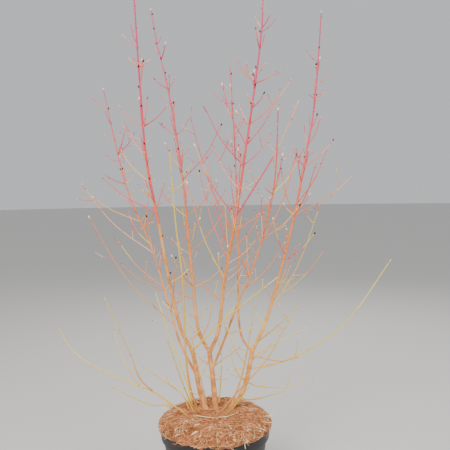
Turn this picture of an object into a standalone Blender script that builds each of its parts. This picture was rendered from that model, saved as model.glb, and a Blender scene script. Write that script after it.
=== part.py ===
"""A midwinter fire dogwood in its pot, bare of leaves, as separate closed solids.

Three stems and a few thin suckers rise from one root through the fibre mulch of a black nursery
pot. Each stem forks into leaders. A leader starts as a bare bough and goes on as a spray of twigs.
The origin is the centre of the pot's flat underside, +Z is up, and the plant's front faces -Y.
Lengths of the pot are in metres. The courses of the limbs are in centimetres, and their
thicknesses in millimetres, as they would be noted with a rule beside the plant.
"""
import math
import random

import bmesh
import bpy
import numpy as np
from mathutils import Vector
from mathutils.bvhtree import BVHTree

CM = 0.01
MM = 0.001
GAP = 0.0003

# Pot
POT_HEIGHT = 0.225
RIM_RADIUS = 0.1425
COLLAR_HEIGHT = 0.032
COLLAR_DRAFT = 0.002
COLLAR_STEP = 0.0065
COLLAR_SLOPE = 0.6
BASE_RADIUS = 0.1075
WALL = 0.003
POT_SIDES = 36

# Compost and mulch
COMPOST_TOP = 0.205
GROUND = 0.250
PLATEAU_RADIUS = 0.088
MULCH_RADIUS = 0.1455
MULCH_SHOULDER = 0.2285
MULCH_EDGE = 0.003
MULCH_LUMP = 0.004
MOUND_RINGS = ((0.13, 1), (0.41, 1), (0.7, 0.8))

# Growth
SHOOT_THICK = 3.4
SHOOT_TIP_THICK = 1.7
SHOOT_BOW = 0.13
TWIST = 0.6
GOLDEN_ANGLE = math.radians(137.5)
LEAST_SHOOT = 4.5
CROWN_TOP = 142
CROSSING_START = 5
CROSSING_END = 12
CROSSING_SPACING = 10
CROSSING_LENGTH = (0.13, 0.27)
CROSSING_LEAN = (28, 48)
CROSSING_TURN = (-35, 35)
CROSSING_JITTER = (0.85, 1.15)
STUB = 0.022
FLARE_HEIGHT = 0.012
STEM_FLARE = 1.35
SUCKER_FLARE = 1.3
TAPER_POWER = 1.15
ROOT_LENGTH = 0.015
ROOT_MARGIN = 0.003
LONGEST_ROOT = 0.8
FLATTEST_FORK = 0.2
CLEARANCE = 0.0012
SWINGS = (0, 0.02, -0.02, 0.04, -0.04, 0.06, -0.06)
BEAD_STEP = 0.002
SEED = 7

# Facets: how far apart a limb's rings are, and how many sides they have
LEADER_RINGS, LEADER_SIDES = 0.07, 6
STEM_RINGS, STEM_SIDES = 0.045, 8
STUB_RINGS = 0.012
BOUGH_RINGS, BOUGH_SIDES = 0.045, 7
SUCKER_RINGS, SUCKER_SIDES = 0.06, 5
TWIG_RINGS, TWIG_SIDES = 0.05, 4
LOW_SPRAY_RINGS = 0.035
SHOOT_RINGS, SHOOT_SIDES = 0.035, 3
RIM_STEPS = 8

# Stems that stand in the pot: course from the ground to the fork, thickness at foot and fork
STEMS = {
    "stem_middle": ([(0.2, 1.9, 25), (-0.4, 2, 33), (-1.2, 2, 40.5)], (14, 12)),
    "stem_left": ([(-2.4, 2, 25), (-4.1, 1.5, 31.2), (-4.9, 1, 36.7)], (13, 11)),
    "stem_right": ([(4, 2.4, 25), (6.9, 2.3, 28.8), (8.6, 2.2, 33.4), (10, 2, 40.5)], (12.5, 11)),
}

# Leaders: the stem that each grows from, its course from the fork to its tip, thickness at both
# ends, the height where its bare bough ends, and its side shoots as (height, run, rise), where
# run is how far the shoot's tip lies to the right of its root and rise is how far above it
LEADERS = {
    "centre": {
        "stem": "stem_middle",
        "course": [(-1.2, 2, 40.5), (1.3, 1.5, 46.6), (3, 0.4, 59.6), (6.2, -1.1, 76.5),
                   (8.7, -2.5, 92),
                   (11.4, -4.2, 109.4), (13, -5.4, 122), (13.8, -6.2, 136)],
        "thick": (10, 3.2), "split": 52,
        "shoots": [(54, -11, 14), (54, 7, 11), (60, -9, 25.5), (59, 7, 7), (65, -7, 23.5),
                   (64, 7.5, 6.5),
                   (67, -5.5, 25), (67, 9.5, 13), (72, -10.5, 30), (72, 10.5, 9), (76, -10, 18.5),
                   (83, -7, 12), (83, 5.5, 3.5), (89, -9.5, 14.5), (89, 7.5, 8.5), (94, -6, 15),
                   (94, 9, 14.5), (99, -3.5, 4), (99, 10.5, 11), (103, 3.5, 4.5), (109, -5, 6),
                   (109, 5.5, 3)],
    },
    "left": {
        "stem": "stem_middle",
        "course": [(-1.2, 2, 40.5), (-4.2, 3, 47.2), (-5.9, 5.8, 64), (-8, 9.4, 87), (-11.3, 12.6, 109),
                   (-14.6, 14.6, 124), (-16.4, 16, 134)],
        "thick": (9, 2.8), "split": 52.5,
        "shoots": [(54, -5.5, 3.5), (57, 8, 5), (57, -6, 5), (66, 12, 16.5), (66, -5, 4.5),
                   (71, 3.5, 5),
                   (76, -8, 8.5), (76, 8.5, 10), (89, -4.5, 7.5), (86, 11, 15.5), (98, -4, 3.5),
                   (98, 3.5, 5), (111, -4, 3)],
    },
    "mid_right": {
        "stem": "stem_middle",
        "course": [(-0.8, 2, 35.6), (1.8, 0.8, 41.8), (6.3, -3, 54.3), (9.5, -5.7, 62.3),
                   (13.2, -10, 74.6),
                   (15.1, -14.2, 86), (15.4, -20, 101)],
        "thick": (6.5, 2.4), "split": 56,
        "shoots": [(58, 10.5, 12), (70, 9.5, 22), (70, -1, 4.5), (71, 9, 8.5), (82, 6.5, 9)],
    },
    "far_left": {
        "stem": "stem_left",
        "course": [(-4.9, 1, 36.7), (-5.8, 0.1, 41.8), (-8.3, -1, 47.3), (-10.4, -3.1, 58),
                   (-12.9, -6.8, 75.8),
                   (-15, -10, 91), (-15.5, -13.8, 107), (-15.7, -18, 125), (-15.9, -19.6, 134)],
        "thick": (9.5, 2.8), "split": 75,
        "shoots": [(78, -13, 8.5), (85, -8, 9), (91, -4.5, 8), (98, -6, 5.5), (98, 6, 5)],
    },
    "outer_left": {
        "stem": "stem_left",
        "course": [(-4.6, 1.2, 34.4), (-8.9, 2, 43.1), (-11.5, 3.4, 52), (-16.2, 5.7, 67.7),
                   (-22.2, 7.8, 82),
                   (-25.7, 9.7, 95), (-29.4, 12, 111.7)],
        "thick": (6.5, 2.4), "split": 46,
        "shoots": [(47.5, -22, 29.5), (46.5, -9, 1), (56.5, -10.5, 8.5), (57.5, -13, 12),
                   (66.5, -18, 18.5),
                   (69, -5, 7), (75, -15, 7), (85, -5, 2.5)],
    },
    "slim_centre": {
        "stem": "stem_right",
        "course": [(10, 2, 40.5), (7.4, 2.7, 44.3), (6.6, 3.8, 51.5), (6.8, 7, 71), (6.5, 10.2, 91),
                   (5.5, 14, 117)],
        "thick": (6, 2.2), "split": 64,
        "shoots": [],
    },
    "far_right": {
        "stem": "stem_right",
        "course": [(10, 2, 40.5), (13.8, 2.9, 48.4), (17.5, 4.2, 60), (21.8, 6, 75.6), (25.7, 8, 93.5),
                   (28.2, 9.5, 107.5), (30.5, 12, 131.4)],
        "thick": (9.5, 2.8), "split": 50,
        "shoots": [(51, 13.5, 27.5), (54, 13.5, 10.5), (64, 8, 8), (76, -3, 3.5), (76, 15.5, 10.5),
                   (77, 4, 5), (79, 9.5, 15.5), (89, -3.5, 5.5), (89, 8.5, 7.5), (99, 2, 4.5)],
    },
}

# A strong limb fused to a spray beside its side shoots: its course and thickness at both ends
STRONG_LIMBS = {
    "centre": ([(6.2, -1.1, 76.5), (9.9, -5, 82.3), (15.9, -10.5, 92.3), (20.5, -16, 103)], (5, 2.2)),
}

# Thin shoots that start from a stem or a bough: what carries them, course and thickness
TWIGS = {
    "twig_crossing": ("bough_far_left", [(-5.5, 0.3, 41.4), (-2.5, -1.2, 44.9), (6.6, -4.8, 53.8),
                                         (15.7, -12, 62.4)],
                      (4, 2)),
    "twig_fork": ("bough_left", [(-3.2, 2.7, 44.4), (-1.5, 3.6, 47.6), (-0.4, 4.2, 52),
                                 (1.3, 5, 59.2)], (3.2, 1.8)),
    "twig_inner_left": ("stem_right", [(8.3, 2.2, 32.3), (6, 3, 34.6), (4.8, 3.4, 38),
                                       (4.2, 3.2, 41.5)],
                        (3.2, 1.8)),
    "twig_inner_right": ("stem_right", [(9.1, 2.1, 36.1), (6, -0.2, 40.8), (4.3, -1.8, 45),
                                        (3.5, -2.8, 49.6)],
                         (3.2, 1.8)),
    "twig_between": ("stem_middle", [(-0.8, 2, 36.2), (2.3, 3.2, 38.2), (7.8, 7.6, 40.8)], (3, 1.8)),
    "low_right_long": ("stem_right", [(9.1, 2.1, 36.1), (12.9, 2.3, 36.4), (18.8, 3, 37.7),
                                      (26.6, 3.8, 41.1),
                                      (36.4, 4.8, 48.4), (48, 6, 64.2)], (5, 2)),
    "low_right_back": ("stem_right", [(8.4, 2.2, 32.5), (12.1, 4.4, 30.3), (20.8, 9.8, 28.2),
                                      (27.9, 14, 29.4)],
                       (4, 2)),
    "low_right_front": ("stem_right", [(6.3, 2.3, 28), (10.4, -2, 29.2), (17.3, -10, 34.2)], (4, 2)),
    "right_drooping": ("stem_right", [(9.7, 2, 39.3), (12.2, 0.3, 39.4), (16.7, -5, 40),
                                      (20.5, -14, 43.7)],
                       (3.6, 1.8)),
    "right_spreading": ("stem_right", [(9.3, 2.1, 37.2), (12, 3.5, 39.6), (18.7, 7.6, 42),
                                       (26.2, 12, 44.4)],
                        (3.8, 1.8)),
    "right_rising": ("bough_far_right", [(11.3, 2.2, 43), (14, -1, 46), (18.9, -8, 52.4)], (3.6, 1.8)),
}

# Suckers that rise from the ground on their own: course and thickness
SUCKERS = {
    "sucker_tall": ([(-4.9, 3.5, 25), (-6.5, 1.3, 31.8), (-7.2, -2.2, 42), (-7, -9.1, 61),
                     (-7.9, -14.6, 75),
                     (-8.3, -22, 92)], (6, 2.4)),
    "sucker_back_left": ([(-6.2, 4.7, 25), (-7.5, 7, 30.1), (-12, 12, 40.4), (-17, 17, 54)], (5, 2)),
    "sucker_right": ([(1.6, 0.3, 25), (5.6, -2, 30.8), (12.9, -5.3, 40), (17, -8.8, 48.4),
                      (20.6, -12, 56)],
                     (4.6, 2)),
    "low_left_front": ([(-6.8, -2.3, 25), (-10.9, -3.6, 28.6), (-16, -6.3, 29.9),
                        (-24, -12, 36.3)], (4, 2)),
    "low_left_back": ([(-6.9, 2.3, 25), (-8.6, 3.6, 28.6), (-13, 7, 30.6),
                       (-20.3, 12, 33.7)], (3.8, 2)),
    "low_left_short": ([(-5.6, 1, 25), (-7.4, 1.4, 28.2), (-10.6, 3.6, 30.6),
                        (-14.2, 6, 32.7)], (3.4, 2)),
    "low_back_left": ([(-2.2, 5.4, 25), (-4.6, 14, 31), (-9, 26, 46)], (4.4, 2)),
    "low_back_right": ([(4.4, 5.6, 25), (8, 14, 32), (13, 27, 52)], (4.6, 2)),
    "low_back": ([(1, 6.2, 25), (1.8, 16, 34), (0.6, 30, 40)], (4, 2)),
    "low_front_left": ([(-3.4, -1.2, 25), (-6, -9, 32), (-9.6, -22, 50)], (4.4, 2)),
    "low_front_right": ([(2.6, -2, 25), (5, -11, 31), (8, -26, 41)], (4.2, 2)),
}

# The low spray on the left: a long sucker with two branches of its own
LOW_SPRAY = [
    ([(-7.6, -0.4, 25), (-11.2, 0.1, 27.4), (-17, 1.1, 31), (-22.3, 2, 32.6), (-33.2, 3.7, 37.4),
      (-38.6, 4.5, 41.8), (-41.8, 5, 47.5)], (5, 2)),
    ([(-16.4, 1, 30.8), (-19.4, -1, 35), (-21.3, -3.1, 42), (-26.4, -8, 57.5)], (3.6, 1.8)),
    ([(-19.8, 1.5, 31.9), (-23.6, 3.6, 37), (-25.8, 6, 41), (-27.7, 9, 45.5)], (3, 1.8)),
]

# Finishes: base colour and roughness
POT_FINISH = ((0.012, 0.012, 0.013), 0.55)
COMPOST_FINISH = ((0.035, 0.022, 0.014), 0.95)
MULCH_FINISH = ((0.24, 0.11, 0.06), 0.95)
STEM_FINISH = ((0.61, 0.32, 0.15), 0.6)
BOUGH_FINISH = ((0.66, 0.31, 0.12), 0.55)
SPRAY_FINISH = ((0.62, 0.14, 0.10), 0.5)
TWIG_FINISH = ((0.70, 0.42, 0.20), 0.5)
SUCKER_FINISH = ((0.72, 0.55, 0.22), 0.5)


def clear_scene():
    for item in list(bpy.data.objects):
        bpy.data.objects.remove(item, do_unlink=True)


def finish(item, colour_and_roughness):
    """Gives the object a material of its own."""
    colour, roughness = colour_and_roughness
    material = bpy.data.materials.new(item.name)
    material.use_nodes = True
    shader = material.node_tree.nodes["Principled BSDF"]
    shader.inputs["Base Color"].default_value = (*colour, 1)
    shader.inputs["Roughness"].default_value = roughness
    shader.inputs["Metallic"].default_value = 0
    item.data.materials.clear()
    item.data.materials.append(material)
    return item


def add_object(name, bm):
    mesh = bpy.data.meshes.new(name)
    bmesh.ops.recalc_face_normals(bm, faces=bm.faces)
    bm.to_mesh(mesh)
    bm.free()
    item = bpy.data.objects.new(name, mesh)
    bpy.context.scene.collection.objects.link(item)
    return item


def turned(name, profile, sides):
    """A solid of revolution about Z from (radius, height) pairs that start and end on the axis."""
    bm = bmesh.new()
    rings = []
    for radius, height in profile:
        if radius == 0:
            rings.append([bm.verts.new((0, 0, height))])
            continue
        turns = [2 * math.pi * k / sides for k in range(sides)]
        rings.append([bm.verts.new((radius * math.cos(a), radius * math.sin(a), height)) for a in turns])
    bridge_rings(bm, rings, sides)
    return add_object(name, bm)


def bridge_rings(bm, rings, sides):
    """Skins a row of rings. A ring of one vertex is a pole."""
    for low, high in zip(rings, rings[1:]):
        for k in range(sides):
            n = (k + 1) % sides
            corners = [low[k % len(low)], low[n % len(low)], high[n % len(high)], high[k % len(high)]]
            bm.faces.new(list(dict.fromkeys(corners)))


class Course:
    """A smooth curve through a limb's points, with a radius that tapers from foot to tip."""

    def __init__(self, stations, thick, flare=1.0):
        self.stations = [Vector(p) * CM for p in stations]
        self.thick = thick
        self.flare = flare
        self.line, self.along = self.dense_line()
        self.length = self.along[-1]

    def dense_line(self):
        """Points about 2 mm apart on a curve through the stations, and how far along each lies."""
        before = 2 * self.stations[0] - self.stations[1]
        after = 2 * self.stations[-1] - self.stations[-2]
        ends = [before, *self.stations, after]
        line = []
        for a, b, c, d in zip(ends, ends[1:], ends[2:], ends[3:]):
            steps = max(2, int((c - b).length / BEAD_STEP))
            for k in range(steps):
                t = k / steps
                point = 2 * b + (c - a) * t + (2 * a - 5 * b + 4 * c - d) * t * t
                line.append((point + (3 * b - a - 3 * c + d) * t ** 3) / 2)
        line.append(self.stations[-1])
        along = [0]
        for a, b in zip(line, line[1:]):
            along.append(along[-1] + (b - a).length)
        return line, along

    def point(self, distance):
        at = min(max(int(np.searchsorted(self.along, distance)), 1), len(self.line) - 1)
        span = self.along[at] - self.along[at - 1]
        share = (distance - self.along[at - 1]) / span
        return self.line[at - 1].lerp(self.line[at], min(max(share, 0), 1))

    def heading(self, distance):
        step = 2 * BEAD_STEP
        ahead = self.point(min(distance + step, self.length))
        return (ahead - self.point(max(distance - step, 0))).normalized()

    def radius(self, distance):
        low, high = self.thick
        share = min(distance / self.length, 1)
        taper = high + (low - high) * (1 - share) ** TAPER_POWER
        swell = 1 + (self.flare - 1) * math.exp(-distance / FLARE_HEIGHT)
        return taper * swell * MM / 2

    def at_height(self, height):
        """How far along the course it first reaches a height."""
        for distance, point in zip(self.along, self.line):
            if point.z >= height:
                return distance
        return self.length


def ring_axes(headings):
    """Two axes across the limb for each ring, carried along it without twisting."""
    start = Vector((0, 1, 0)) if abs(headings[0].y) < 0.9 else Vector((1, 0, 0))
    across = (start - headings[0] * start.dot(headings[0])).normalized()
    axes = []
    for heading in headings:
        across = (across - heading * across.dot(heading)).normalized()
        axes.append((across, heading.cross(across)))
    return axes


class Limb:
    """A stretch of a course with the places of its rings, which its mesh and its beads share."""

    def __init__(self, course, start=0, end=None, spacing=LEADER_RINGS, on_ground=False):
        self.on_ground = on_ground
        end = course.length if end is None else end
        steps = max(2, round((end - start) / spacing))
        stops = [start + (end - start) * k / steps for k in range(steps + 1)]
        if on_ground:
            stops.insert(1, start + FLARE_HEIGHT)
        self.centres = [course.point(stop) for stop in stops]
        self.radii = [course.radius(stop) for stop in stops]
        self.headings = [course.heading(stop) for stop in stops]
        if on_ground:
            self.centres[0].z = GROUND + GAP
            self.headings[0] = Vector((0, 0, 1))

    def beads(self):
        """Centres and radii about 2 mm apart along the limb's chords."""
        centres, radii = [], []
        for a, b, low, high in zip(self.centres, self.centres[1:], self.radii, self.radii[1:]):
            count = max(1, math.ceil((b - a).length / BEAD_STEP))
            for k in range(count):
                centres.append(a.lerp(b, k / count))
                radii.append(low + (high - low) * k / count)
        centres.append(self.centres[-1])
        radii.append(self.radii[-1])
        return np.array(centres), np.array(radii)

    def rings(self, sides):
        rings = []
        turns = [2 * math.pi * k / sides for k in range(sides)]
        for centre, radius, (across, other) in zip(self.centres, self.radii, ring_axes(self.headings)):
            spokes = [math.cos(a) * across + math.sin(a) * other for a in turns]
            rings.append([centre + radius * spoke for spoke in spokes])
        return rings

    def face_points(self, sides):
        """Points round the rim of the limb's first face."""
        rim = self.rings(sides)[0]
        shares = [k / RIM_STEPS for k in range(RIM_STEPS)]
        return [a.lerp(b, share) for a, b in zip(rim, rim[1:] + rim[:1]) for share in shares]

    def make(self, name, sides):
        """A closed tapering tube."""
        bm = bmesh.new()
        rings = [[bm.verts.new(corner) for corner in ring] for ring in self.rings(sides)]
        bridge_rings(bm, rings, sides)
        bm.faces.new(rings[0][::-1])
        bm.faces.new(rings[-1])
        return add_object(name, bm)


def fuse(name, pieces):
    """Joins closed pieces into one solid with a single union, and drops any loose scrap."""
    body, others = pieces[0], pieces[1:]
    if others:
        group = bpy.data.collections.new(name + "_pieces")
        for other in others:
            group.objects.link(other)
        union = body.modifiers.new("union", "BOOLEAN")
        union.operation = "UNION"
        union.operand_type = "COLLECTION"
        union.collection = group
        union.solver = "EXACT"
        evaluated = body.evaluated_get(bpy.context.evaluated_depsgraph_get())
        fused = bpy.data.meshes.new_from_object(evaluated)
        body.modifiers.clear()
        body.data = fused
        for other in others:
            bpy.data.objects.remove(other, do_unlink=True)
        bpy.data.collections.remove(group)
    keep_main_shell(body)
    body.name = name
    body.data.name = name
    return body


def keep_main_shell(item):
    """Deletes every shell but the one with most faces, which fills sealed hollows too."""
    bm = bmesh.new()
    bm.from_mesh(item.data)
    shells, seen = [], set()
    for face in bm.faces:
        if face in seen:
            continue
        shell, front = [], [face]
        seen.add(face)
        while front:
            current = front.pop()
            shell.append(current)
            for edge in current.edges:
                for beside in edge.link_faces:
                    if beside not in seen:
                        seen.add(beside)
                        front.append(beside)
        shells.append(shell)
    shells.sort(key=len)
    for shell in shells[:-1]:
        bmesh.ops.delete(bm, geom=shell, context="FACES")
    loose = [v for v in bm.verts if not v.link_faces]
    bmesh.ops.delete(bm, geom=loose, context="VERTS")
    bm.to_mesh(item.data)
    bm.free()


class Room:
    """Remembers the space that limbs take, as beads strung along them."""

    def __init__(self):
        self.strings = []

    def take(self, owner, piece):
        centres, radii = piece.beads()
        self.strings.append((owner, centres, radii, centres.min(0), centres.max(0)))

    def is_free(self, owner, piece, root_length):
        """True where the limb keeps clear of every other, but for its own leader near its root."""
        centres, radii = piece.beads()
        beyond_root = int(root_length / BEAD_STEP)
        for other, taken, thick, low, high in self.strings:
            skip = beyond_root if other == owner else 0
            points, own = centres[skip:], radii[skip:]
            margin = thick.max() + own.max() + CLEARANCE
            if (points.min(0) > high + margin).any() or (points.max(0) < low - margin).any():
                continue
            apart = np.linalg.norm(points[:, None] - taken[None], axis=2)
            if (apart < own[:, None] + thick[None] + CLEARANCE).any():
                return False
        return True


def shoot_limb(root, reach):
    """A side shoot: it leaves its leader widely and bends upwards to its tip."""
    flat = Vector((reach.x, reach.y, 0))
    middle = root + flat * (0.5 + SHOOT_BOW / 2) + Vector((0, 0, reach.z * (0.5 - SHOOT_BOW / 2)))
    course = Course([p / CM for p in (root, middle, root + reach)], (SHOOT_THICK, SHOOT_TIP_THICK))
    return Limb(course, spacing=max(SHOOT_RINGS, course.length / 3))


def settle_shoot(room, spray, leader, height, reach):
    """Finds a free place for a shoot by swinging it a little, and takes it, or gives None."""
    foot = leader.at_height(height)
    root = leader.point(foot)
    aside = Vector((-reach.y, reach.x, 0)).normalized()
    angle = max(reach.angle(leader.heading(foot)), FLATTEST_FORK)
    inside = leader.radius(foot) + SHOOT_THICK * MM / 2 + ROOT_MARGIN
    root_length = min(max(ROOT_LENGTH, inside / math.sin(angle)), reach.length * LONGEST_ROOT)
    for swing in SWINGS:
        shoot = shoot_limb(root, reach + aside * swing)
        if room.is_free(spray, shoot, root_length):
            room.take(spray, shoot)
            return shoot
    return None


def listed_shoots(room, name, leader, shoots):
    """The shoots seen from the front, each turned about its leader by the golden angle's sine."""
    found = []
    for number, (height, run, rise) in enumerate(shoots):
        depth = TWIST * abs(run) * math.sin(GOLDEN_ANGLE * number)
        found.append(settle_shoot(room, name, leader, height * CM, Vector((run, depth, rise)) * CM))
    return [shoot for shoot in found if shoot]


def crossing_shoots(room, name, leader, split, draw):
    """Pairs that point to the front and the back, by rule: long low down and short near the tip."""
    found = []
    height = split + CROSSING_START * CM
    while height < leader.stations[-1].z - CROSSING_END * CM:
        for side in (-1, 1):
            length = (CROWN_TOP * CM - height) * draw.uniform(*CROSSING_LENGTH)
            lean = math.radians(draw.uniform(*CROSSING_LEAN))
            turn = math.radians(draw.uniform(*CROSSING_TURN))
            if length < LEAST_SHOOT * CM:
                continue
            out = length * math.sin(lean)
            reach = Vector((out * math.sin(turn), side * out * math.cos(turn), length * math.cos(lean)))
            found.append(settle_shoot(room, name, leader, height, reach))
        height += CROSSING_SPACING * CM * draw.uniform(*CROSSING_JITTER)
    return [shoot for shoot in found if shoot]


def first_clear(carrier, course, sides):
    """How far along a course its end face first stands GAP clear of the solid that carries it."""
    tree = BVHTree.FromObject(carrier, bpy.context.evaluated_depsgraph_get())
    distance = 0
    while distance < course.length / 2:
        distance += GAP / 4
        end = Limb(course, distance, spacing=TWIG_RINGS)
        if all(outside_by(tree, point) >= GAP for point in end.face_points(sides)):
            break
    return distance


def outside_by(tree, point):
    """How far a point lies outside a closed solid, negative inside it."""
    nearest, normal, _, distance = tree.find_nearest(point)
    return distance if (point - nearest).dot(normal) > 0 else -distance


def make_pot():
    inner_rim = RIM_RADIUS - WALL
    foot_of_collar = POT_HEIGHT - COLLAR_HEIGHT
    collar_low = RIM_RADIUS - COLLAR_DRAFT
    wall_top = collar_low - COLLAR_STEP
    lead_in = COLLAR_STEP * COLLAR_SLOPE
    profile = [
        (0, 0), (BASE_RADIUS, 0), (wall_top, foot_of_collar - lead_in), (collar_low, foot_of_collar),
        (RIM_RADIUS, POT_HEIGHT), (inner_rim, POT_HEIGHT), (collar_low - WALL, foot_of_collar + WALL),
        (wall_top - WALL, foot_of_collar - lead_in), (BASE_RADIUS - WALL, WALL), (0, WALL),
    ]
    return finish(turned("pot", profile, POT_SIDES), POT_FINISH)


def make_compost():
    foot_of_collar = POT_HEIGHT - COLLAR_HEIGHT
    wall_top = RIM_RADIUS - COLLAR_DRAFT - COLLAR_STEP - WALL
    lead_in = COLLAR_STEP * COLLAR_SLOPE
    slack = 2 * GAP
    profile = [
        (0, WALL + GAP), (BASE_RADIUS - WALL - slack, WALL + GAP),
        (wall_top - slack, foot_of_collar - lead_in),
        (wall_top + COLLAR_STEP - slack - MM, COMPOST_TOP), (0, COMPOST_TOP),
    ]
    return finish(turned("compost", profile, POT_SIDES), COMPOST_FINISH)


def make_mulch(draw):
    """The fibre mulch: level round the stems, lumpy towards its edge, and lapping over the rim."""
    inner = RIM_RADIUS - WALL - COLLAR_DRAFT
    seat = POT_HEIGHT + GAP
    profile = [
        (0, COMPOST_TOP + GAP, 0), (inner - MM, COMPOST_TOP + GAP, 0), (inner - GAP, seat, 0),
        (MULCH_RADIUS - MULCH_EDGE, seat, 0.3), (MULCH_RADIUS, seat + MULCH_EDGE, 0.6),
    ]
    for share, roughness in MOUND_RINGS:
        radius = MULCH_RADIUS + (PLATEAU_RADIUS - MULCH_RADIUS) * share
        height = GROUND - (GROUND - MULCH_SHOULDER) * (1 - share) ** 2
        profile.append((radius, height, roughness))
    profile += [(PLATEAU_RADIUS, GROUND, 0), (0, GROUND, 0)]
    bm = bmesh.new()
    rings = []
    for radius, height, roughness in profile:
        if radius == 0:
            rings.append([bm.verts.new((0, 0, height))])
            continue
        ring = []
        for k in range(POT_SIDES):
            turn = 2 * math.pi * k / POT_SIDES
            out = radius + roughness * draw.uniform(-MULCH_LUMP, MULCH_LUMP) / 2
            lift = max(0, roughness - 0.5) * draw.uniform(-MULCH_LUMP, MULCH_LUMP)
            ring.append(bm.verts.new((out * math.cos(turn), out * math.sin(turn), height + lift)))
        rings.append(ring)
    bridge_rings(bm, rings, POT_SIDES)
    return finish(add_object("mulch", bm), MULCH_FINISH)


def make_stems(room):
    """Each stem from its flat cut at the ground to its fork, with a stub for each leader."""
    leaders = {}
    for stem, (stations, thick) in STEMS.items():
        trunk = Limb(Course(stations, thick, STEM_FLARE), spacing=STEM_RINGS, on_ground=True)
        room.take(stem, trunk)
        pieces = [trunk.make(stem, STEM_SIDES)]
        for name, plan in LEADERS.items():
            if plan["stem"] == stem:
                leaders[name] = Course(plan["course"], plan["thick"])
                stub = Limb(leaders[name], 0, STUB, spacing=STUB_RINGS)
                room.take(stem, stub)
                pieces.append(stub.make(name + "_stub", BOUGH_SIDES))
        finish(fuse(stem, pieces), STEM_FINISH)
    return leaders


def make_boughs(room, leaders):
    """The bare part of each leader, which ends where its spray begins."""
    for name, leader in leaders.items():
        split = leader.at_height(LEADERS[name]["split"] * CM)
        bough = Limb(leader, STUB + GAP, split, spacing=BOUGH_RINGS)
        room.take("bough_" + name, bough)
        finish(bough.make("bough_" + name, BOUGH_SIDES), BOUGH_FINISH)
        room.take("spray_" + name, Limb(leader, split + GAP))


def make_suckers(room):
    for name, (stations, thick) in SUCKERS.items():
        sucker = Limb(Course(stations, thick, SUCKER_FLARE), spacing=SUCKER_RINGS, on_ground=True)
        room.take(name, sucker)
        finish(sucker.make(name, SUCKER_SIDES), SUCKER_FINISH)


def make_twigs(room):
    for name, (carrier, stations, thick) in TWIGS.items():
        course = Course(stations, thick)
        room.take(name, Limb(course, STUB / 2, spacing=TWIG_RINGS))
        start = first_clear(bpy.data.objects[carrier], course, TWIG_SIDES)
        finish(Limb(course, start, spacing=TWIG_RINGS).make(name, TWIG_SIDES), TWIG_FINISH)


def make_low_spray(room):
    pieces = []
    for number, (stations, thick) in enumerate(LOW_SPRAY):
        on_ground = number == 0
        course = Course(stations, thick, SUCKER_FLARE)
        branch = Limb(course, spacing=LOW_SPRAY_RINGS, on_ground=on_ground)
        room.take("spray_low_left", branch)
        pieces.append(branch.make("low_%d" % number, SUCKER_SIDES if on_ground else TWIG_SIDES))
    finish(fuse("spray_low_left", pieces), SUCKER_FINISH)


def make_sprays(room, leaders, draw):
    """Each leader above its bough, fused with its side shoots."""
    shoots = {name: [] for name in leaders}
    for name, (stations, thick) in STRONG_LIMBS.items():
        strong = Limb(Course(stations, thick))
        room.take("spray_" + name, strong)
        shoots[name].append(strong)
    for name, leader in leaders.items():
        shoots[name] += listed_shoots(room, "spray_" + name, leader, LEADERS[name]["shoots"])
    for name, leader in leaders.items():
        split = LEADERS[name]["split"] * CM
        shoots[name] += crossing_shoots(room, "spray_" + name, leader, split, draw)
        axis = Limb(leader, leader.at_height(split) + GAP)
        pieces = [axis.make(name, LEADER_SIDES)]
        for number, shoot in enumerate(shoots[name]):
            pieces.append(shoot.make("%s_%d" % (name, number), SHOOT_SIDES))
        finish(fuse("spray_" + name, pieces), SPRAY_FINISH)


def main():
    clear_scene()
    room = Room()
    make_pot()
    make_compost()
    make_mulch(random.Random(SEED))
    leaders = make_stems(room)
    make_boughs(room, leaders)
    make_suckers(room)
    make_low_spray(room)
    make_twigs(room)
    make_sprays(room, leaders, random.Random(SEED))


main()
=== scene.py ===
# %% [markdown]
# # A midwinter fire dogwood in its nursery pot
# The shrub stands bare in winter, and what the eye reads is bark: tan stems, orange boughs, and
# twigs that run from straw yellow at the foot to crimson at the top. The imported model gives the
# place of every stem, bough and mass of twigs. This lesson grows the same plant again by the same
# rule, but finer, with buds, spurs, bark relief and a mulch of single fibres.

# %% The frame
import math
import random
from collections import namedtuple

import bpy
import numpy as np
from mathutils import Matrix, Vector


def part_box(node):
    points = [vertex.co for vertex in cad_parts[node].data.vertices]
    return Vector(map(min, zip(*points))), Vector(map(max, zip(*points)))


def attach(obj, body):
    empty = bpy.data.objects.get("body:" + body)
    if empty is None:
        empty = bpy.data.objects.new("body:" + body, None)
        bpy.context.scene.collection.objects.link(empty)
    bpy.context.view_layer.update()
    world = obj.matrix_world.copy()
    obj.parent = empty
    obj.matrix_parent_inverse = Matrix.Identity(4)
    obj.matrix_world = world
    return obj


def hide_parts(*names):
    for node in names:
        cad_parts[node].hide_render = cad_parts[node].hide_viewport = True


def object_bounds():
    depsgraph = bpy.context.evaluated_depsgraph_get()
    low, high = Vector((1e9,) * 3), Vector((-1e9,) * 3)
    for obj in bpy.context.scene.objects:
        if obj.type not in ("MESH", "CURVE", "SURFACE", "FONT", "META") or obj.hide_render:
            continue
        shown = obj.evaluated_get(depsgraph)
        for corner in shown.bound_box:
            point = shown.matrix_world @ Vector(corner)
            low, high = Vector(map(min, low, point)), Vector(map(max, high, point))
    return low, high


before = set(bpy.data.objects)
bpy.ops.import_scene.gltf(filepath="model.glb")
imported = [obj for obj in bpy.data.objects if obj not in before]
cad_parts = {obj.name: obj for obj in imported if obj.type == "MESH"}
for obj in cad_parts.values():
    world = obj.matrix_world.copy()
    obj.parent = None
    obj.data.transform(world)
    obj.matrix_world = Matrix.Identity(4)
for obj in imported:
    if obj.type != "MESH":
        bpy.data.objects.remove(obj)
cad_box = [list(corner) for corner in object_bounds()]
print("CAD box in metres:", cad_box)

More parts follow.
